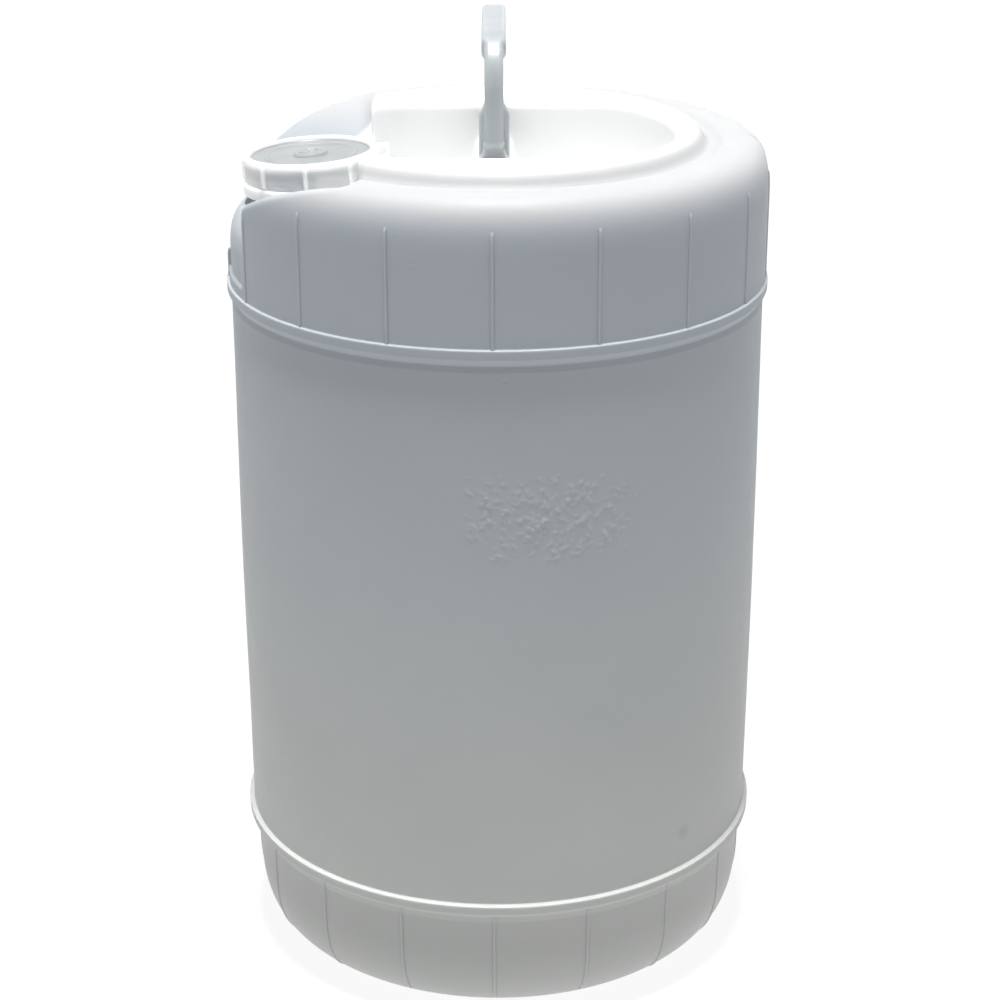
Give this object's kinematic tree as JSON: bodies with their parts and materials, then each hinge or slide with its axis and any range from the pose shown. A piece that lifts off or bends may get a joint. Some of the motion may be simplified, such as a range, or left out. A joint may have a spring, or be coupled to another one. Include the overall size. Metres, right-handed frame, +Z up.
{
  "type": "plastic chemical drum",
  "caption": "Blow-moulded tight-head plastic drum with a screw-capped mouth in a pouring recess and a swing handle that folds into a well in the head.",
  "frame": {"origin": "centre of the base, on the plane that the drum stands on", "axes": "+Z up along the drum's axis; the mouth is towards -X; the handle's pivot axis runs along Y"},
  "size_m": [0.3758, 0.3758, 0.671],
  "materials": {
    "shell": "natural milky polyethylene, satin, translucent",
    "closure": "moulded natural polyethylene, satin",
    "liner": "closed-cell polyethylene foam",
    "vent": "moulded polyethylene, satin",
    "membrane": "sintered white film, matte",
    "handle": "moulded natural polyethylene, satin",
    "pin": "moulded natural polyethylene, satin"
  },
  "bodies": {
    "drum": {"drum_shell": "shell", "tamper_ring": "closure", "pivot_pin_near": "pin", "pivot_pin_far": "pin"},
    "liner": {"cap_liner": "liner"},
    "cap": {"screw_cap": "closure", "vent_plug": "vent", "vent_membrane": "membrane"},
    "handle": {"swing_handle": "handle"}
  },
  "joints": [
    {"name": "handle_swing", "type": "hinge", "parent": "drum", "child": "handle", "pos_m": [-0.002, 0, 0.562], "axis": [0, 1, 0], "range_deg": [-60, 88]},
    {"name": "cap_lift", "type": "slide", "parent": "drum", "child": "liner", "axis": [-0.0576, 0, 0.9983], "range_m": [0, 0.0121]},
    {"name": "cap_turn", "type": "hinge", "parent": "liner", "child": "cap", "pos_m": [-0.126, 0, 0.5545], "axis": [-0.0576, 0, 0.9983], "range_deg": [0, 720]}
  ],
  "couplings": [
    {"joint": "cap_lift", "follows": "cap_turn", "m_per_rad": 0.00095493}
  ]
}
